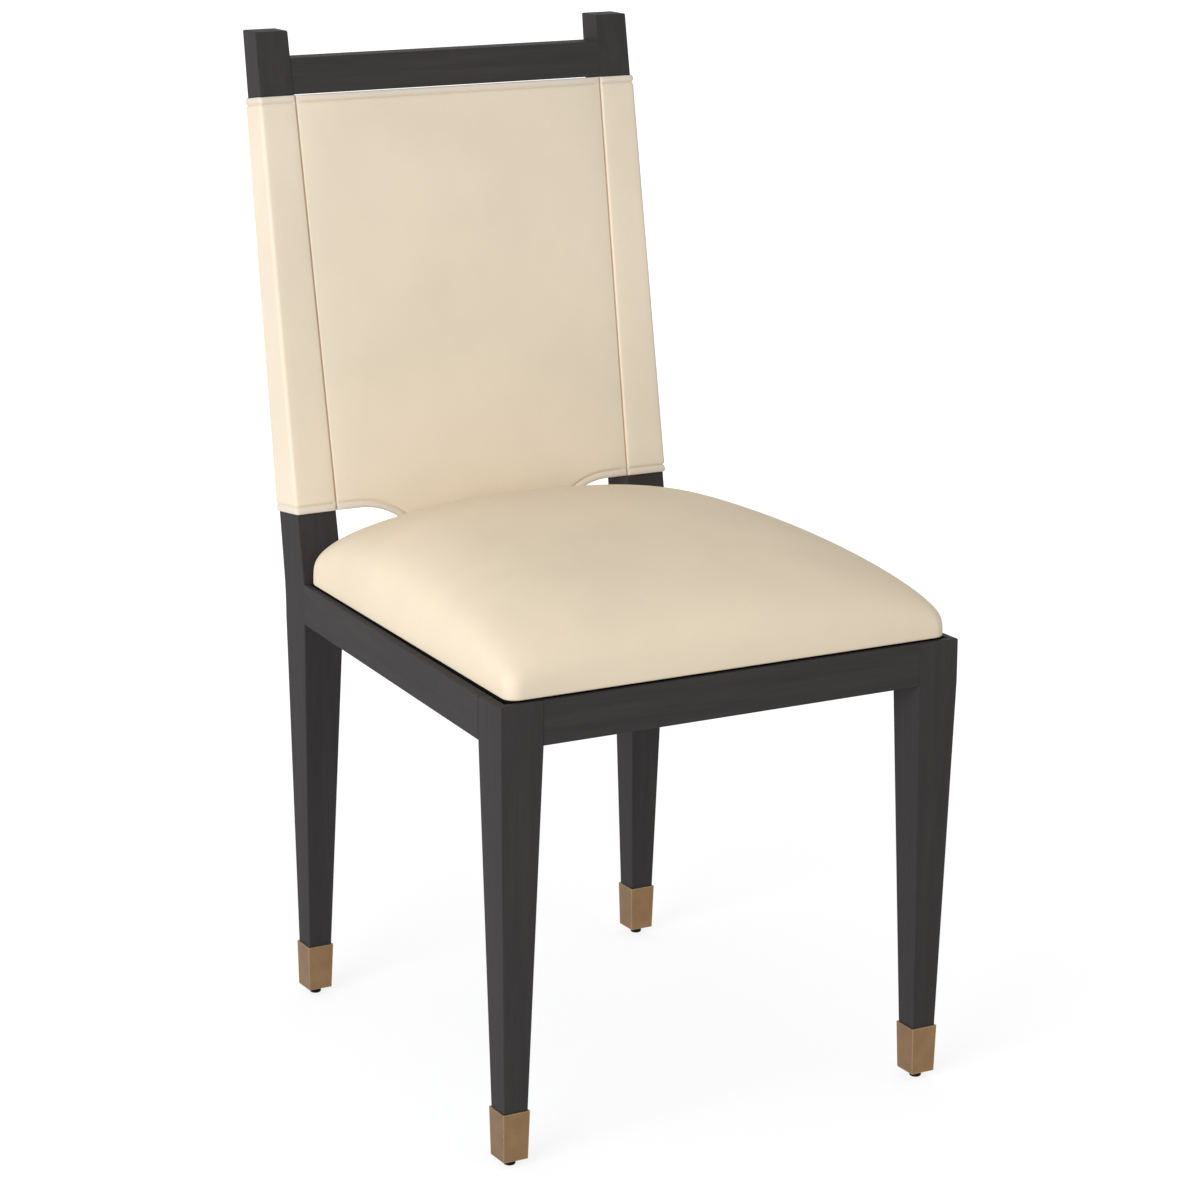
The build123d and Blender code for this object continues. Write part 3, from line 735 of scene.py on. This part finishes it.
def sleeve_ring(z_front, edge, outside):
    """One closed ring of the left sleeve, at a distance from its nearer end."""
    front, back = post_front(z_front), post_back(z_front)
    end_round = rounded(edge, SLEEVE_ROUND)
    ring = []
    for x, y, (out_x, out_y), reach, way in sleeve_loop(z_front):
        z = z_front - SLEEVE_FALL * (y - front) / (back - front)
        y += post_front(z) - post_front(z_front)
        if out_x > 0:
            full = grown(way, *SLEEVE_INNER_FULL)
        else:
            full = grown(way, *SLEEVE_FULL) + SLEEVE_ROLL * rounded(way, SLEEVE_ROUND)
        thick = full - SLING_FIT
        if outside:
            sewn = hem(edge) * min(1.0, thick / FULL_FURROW) * rounded(way, SLEEVE_HEM_START)
            depth = SLING_FIT + thick * between(SLEEVE_MEETING, 1.0, end_round) + sewn
        else:
            depth = SLING_FIT + thick * SLEEVE_MEETING * (1 - end_round)
        ring.append((x + out_x * (reach + depth), y + out_y * (reach + depth), z))
    return ring


def sleeve_levels():
    """Height at the front and the way to the nearer end, from bottom to top."""
    levels = [(SLING_BOTTOM + e, e) for e in EDGE_STEPS]
    low, high = SLING_BOTTOM + EDGE_STEPS[-1], SLING_TOP - EDGE_STEPS[-1]
    levels += [(between(low, high, k / SLEEVE_STEPS), EDGE_STEPS[-1]) for k in range(1, SLEEVE_STEPS)]
    return levels + [(SLING_TOP - e, e) for e in reversed(EDGE_STEPS)]


def sling_sleeve(side):
    """Outside and inside of a sleeve, which meet at its ends."""
    levels = sleeve_levels()
    verts, faces = [], []
    for outside in (True, False):
        rings = [sleeve_ring(z, e, outside) for z, e in levels]
        faces += grid_faces(len(rings), len(rings[0]), len(verts), wrap=True)
        verts += [point for ring in rings for point in ring]
    name = "left" if side < 0 else "right"
    verts = [(-side * x, y, z) for x, y, z in verts]
    piece = new_piece("sling_sleeve_leather_" + name, verts, faces, sling_leather,
                      other=painted_sheen_hem_leather, other_faces=hem_faces(len(levels) - 1, len(rings[0])))
    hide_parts("sling_sleeve_" + name)
    return piece


panel = sling_panel()
sleeves = {side: sling_sleeve(side) for side in (-1, 1)}


# Hem stitching, one short thread after another in the furrow of each hem

STITCH, STITCH_GAP, THREAD = 3.0, 0.7, 0.26
THREAD_SIDES = 6
# Places along half of the panel's hem, and how many of them its stitching keeps from the seam
HEM_PLACES, FREE_PLACES = 120, 3
# Points of a sleeve's ring that its stitching leaves out beside the seam
FREE_POINTS = 2
# Place along a stitch and share of the thread's thickness there
THREAD_RINGS = ((0.0, 0.35), (0.15, 0.85), (0.5, 1.0), (0.85, 0.85), (1.0, 0.35))


def walk(points):
    """Even stitches along a line: start, middle and end of each."""
    lengths = [0.0]
    for a, b in zip(points, points[1:]):
        lengths.append(lengths[-1] + (Vector(b) - Vector(a)).length)

    def spot(way):
        for k in range(1, len(points)):
            if lengths[k] >= way:
                share = (way - lengths[k - 1]) / max(lengths[k] - lengths[k - 1], 1e-9)
                return Vector(points[k - 1]).lerp(Vector(points[k]), share)
        return Vector(points[-1])

    count = int((lengths[-1] - STITCH) / (STITCH + STITCH_GAP))
    start = (lengths[-1] - count * (STITCH + STITCH_GAP) + STITCH_GAP) / 2
    for k in range(count):
        way = start + k * (STITCH + STITCH_GAP)
        yield spot(way), spot(way + STITCH / 2), spot(way + STITCH)


def stitches(name, lines):
    """Threads along lines, each a closed tube with thin ends."""
    verts, faces = [], []
    for line in lines:
        for a, middle, b in walk(line):
            along = (b - a).normalized()
            helper = Vector((0, 0, 1)) if abs(along.z) < 0.8 else Vector((0, 1, 0))
            across = along.cross(helper).normalized()
            up = along.cross(across)
            base = len(verts)
            for share, width in THREAD_RINGS:
                centre = a.lerp(middle, share * 2) if share < 0.5 else middle.lerp(b, share * 2 - 1)
                for k in range(THREAD_SIDES):
                    angle = 2 * pi * k / THREAD_SIDES
                    verts.append(centre + (across * cos(angle) + up * sin(angle)) * (THREAD * width))
            last = base + (len(THREAD_RINGS) - 1) * THREAD_SIDES
            faces += grid_faces(len(THREAD_RINGS), THREAD_SIDES, base, wrap=True)
            faces.append(tuple(base + k for k in reversed(range(THREAD_SIDES))))
            faces.append(tuple(last + k for k in range(THREAD_SIDES)))
    return new_piece(name, verts, faces, thread)


def panel_stitch_lines():
    """Along the upper and lower hem, on the front and the back."""
    lines = []
    reach = HEM_PLACES - FREE_PLACES
    shares = [k / HEM_PLACES for k in range(-reach, reach + 1)]
    for back in (False, True):
        lines.append([panel_point(u, None, HEM, back) for u in shares])
        lines.append([panel_point(u, HEM, None, back) for u in shares])
    return lines


def sleeve_stitch_lines(side):
    """Round both ends of a sleeve, starting beside the seam."""
    rings = [sleeve_ring(SLING_BOTTOM + HEM, HEM, True), sleeve_ring(SLING_TOP - HEM, HEM, True)]
    return [[(-side * x, y, z) for x, y, z in ring[FREE_POINTS:]] for ring in rings]


panel_threads = stitches("sling_panel_stitching", panel_stitch_lines())
for side, sleeve in sleeves.items():
    word = "left" if side < 0 else "right"
    threads = stitches("sling_sleeve_stitching_" + word, sleeve_stitch_lines(side))


# Stage: pale floor, soft light and camera, in metres

FLOOR_HALF = 30.0
FLOOR_LIT, FLOOR_SHADOWED = (0.76, 0.76, 0.76, 1.0), (0.30, 0.30, 0.30, 1.0)
GLOW_FROM, GLOW_TO = (0.5, 2.2), (0.79, 1.0)
LIGHT_ON_OBJECT, WHITE = 0.64, 1.0


def seen_ray(tree):
    """1 for what the camera, reflections and glass see, and 0 for light on the object."""
    path = tree.nodes.new("ShaderNodeLightPath")
    seen = path.outputs["Is Camera Ray"]
    for ray in ("Is Glossy Ray", "Is Transmission Ray"):
        more = tree.nodes.new("ShaderNodeMath")
        more.operation = "MAXIMUM"
        tree.links.new(seen, more.inputs[0])
        tree.links.new(path.outputs[ray], more.inputs[1])
        seen = more.outputs[0]
    return seen


def span(tree, value, start, end):
    """A value from 0 to 1 or a distance, turned into another range without a sharp bend."""
    node = tree.nodes.new("ShaderNodeMapRange")
    node.interpolation_type = "SMOOTHSTEP"
    for socket, number in zip(("From Min", "From Max", "To Min", "To Max"), start + end):
        node.inputs[socket].default_value = number
    tree.links.new(value, node.inputs["Value"])
    return node.outputs["Result"]


def floor():
    """White floor. What is seen of it glows up to white, and keeps a faint shadow near the object."""
    h = FLOOR_HALF
    mesh = bpy.data.meshes.new("floor")
    mesh.from_pydata([(-h, -h, 0), (h, -h, 0), (h, h, 0), (-h, h, 0)], [], [(0, 1, 2, 3)])
    piece = bpy.data.objects.new("floor", mesh)
    bpy.context.scene.collection.objects.link(piece)
    material = bpy.data.materials.new("white_floor")
    material.use_nodes = True
    tree = material.node_tree
    tree.nodes.clear()
    lit = tree.nodes.new("ShaderNodeBsdfDiffuse")
    lit.inputs["Color"].default_value = FLOOR_LIT
    shadowed = tree.nodes.new("ShaderNodeBsdfDiffuse")
    shadowed.inputs["Color"].default_value = FLOOR_SHADOWED
    glow = tree.nodes.new("ShaderNodeEmission")
    coords = tree.nodes.new("ShaderNodeTexCoord")
    way = tree.nodes.new("ShaderNodeVectorMath")
    way.operation = "LENGTH"
    tree.links.new(coords.outputs["Object"], way.inputs[0])
    tree.links.new(span(tree, way.outputs["Value"], GLOW_FROM, GLOW_TO), glow.inputs["Strength"])
    seen = tree.nodes.new("ShaderNodeAddShader")
    tree.links.new(shadowed.outputs[0], seen.inputs[0])
    tree.links.new(glow.outputs[0], seen.inputs[1])
    pick = tree.nodes.new("ShaderNodeMixShader")
    tree.links.new(seen_ray(tree), pick.inputs["Fac"])
    tree.links.new(lit.outputs[0], pick.inputs[1])
    tree.links.new(seen.outputs[0], pick.inputs[2])
    out = tree.nodes.new("ShaderNodeOutputMaterial")
    tree.links.new(pick.outputs[0], out.inputs["Surface"])
    mesh.materials.append(material)


def world():
    """White where it is seen, and a plain even light on the object."""
    made = bpy.data.worlds.new("studio")
    bpy.context.scene.world = made
    made.use_nodes = True
    tree = made.node_tree
    background = tree.nodes["Background"]
    background.inputs["Color"].default_value = (1.0, 1.0, 1.0, 1.0)
    strength = span(tree, seen_ray(tree), (0.0, 1.0), (LIGHT_ON_OBJECT, WHITE))
    tree.links.new(strength, background.inputs["Strength"])


def soft_light(name, place, target, size, power, colour):
    """Area lamp turned to a target."""
    data = bpy.data.lights.new(name, "AREA")
    data.shape = "RECTANGLE"
    data.size, data.size_y = size
    data.energy = power
    data.color = colour
    lamp = bpy.data.objects.new(name, data)
    lamp.location = place
    lamp.rotation_euler = (Vector(target) - Vector(place)).to_track_quat("-Z", "Y").to_euler()
    bpy.context.scene.collection.objects.link(lamp)


def camera():
    """The photograph's viewing angle."""
    data = bpy.data.cameras.new("camera")
    data.sensor_width = 36.0
    data.lens = 107.72
    data.shift_x, data.shift_y = 0.0874, -0.1
    eye = bpy.data.objects.new("camera", data)
    eye.location = (-1.6318, -2.8811, 1.2902)
    turn, dip = radians(28.2187), radians(12.7129)
    forward = Vector((sin(turn) * cos(dip), cos(turn) * cos(dip), -sin(dip)))
    eye.rotation_euler = forward.to_track_quat("-Z", "Y").to_euler()
    bpy.context.scene.collection.objects.link(eye)
    bpy.context.scene.camera = eye


floor()
world()
soft_light("key_light", (-4.37, -2.19, 1.55), (0.0, 0.0, 0.5), (2.8, 2.2), 172.0, (0.96, 1.0, 1.08))
camera()
bpy.context.scene.view_settings.view_transform = "Standard"
